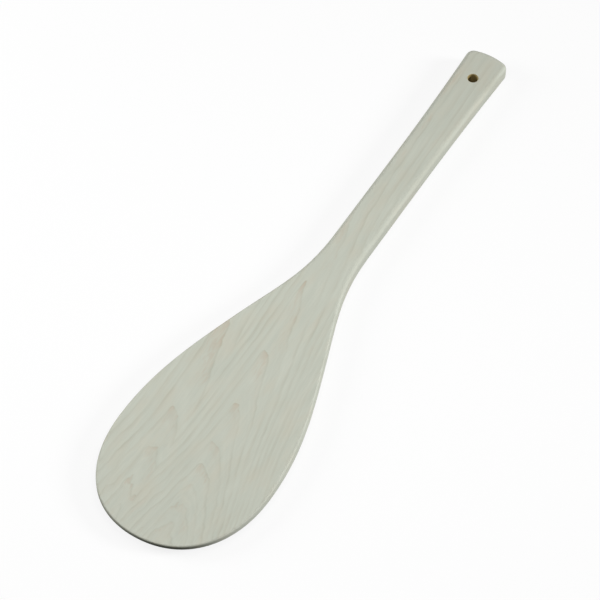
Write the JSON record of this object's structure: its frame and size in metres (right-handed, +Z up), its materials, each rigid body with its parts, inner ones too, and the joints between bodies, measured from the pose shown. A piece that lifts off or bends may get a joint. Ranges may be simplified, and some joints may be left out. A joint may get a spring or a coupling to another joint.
{
  "type": "wooden serving paddle",
  "caption": "Flat wooden serving paddle carved from a single board: egg-shaped blade thinning to its tip, drawn-in neck, rounded edges, flat handle with a hanging hole in its arched end.",
  "frame": {"origin": "on the surface that the paddle lies on, under the middle of its length and width", "axes": "+Y along the handle, from the blade's tip to the handle's end; +X across the blade; +Z up out of the upper face"},
  "size_m": [0.0984, 0.39, 0.011],
  "materials": {
    "pale_wood": "planed and sanded pale softwood, flat-sawn grain, bare satin surface"
  },
  "bodies": {
    "root": {"paddle": "pale_wood"}
  },
  "joints": []
}
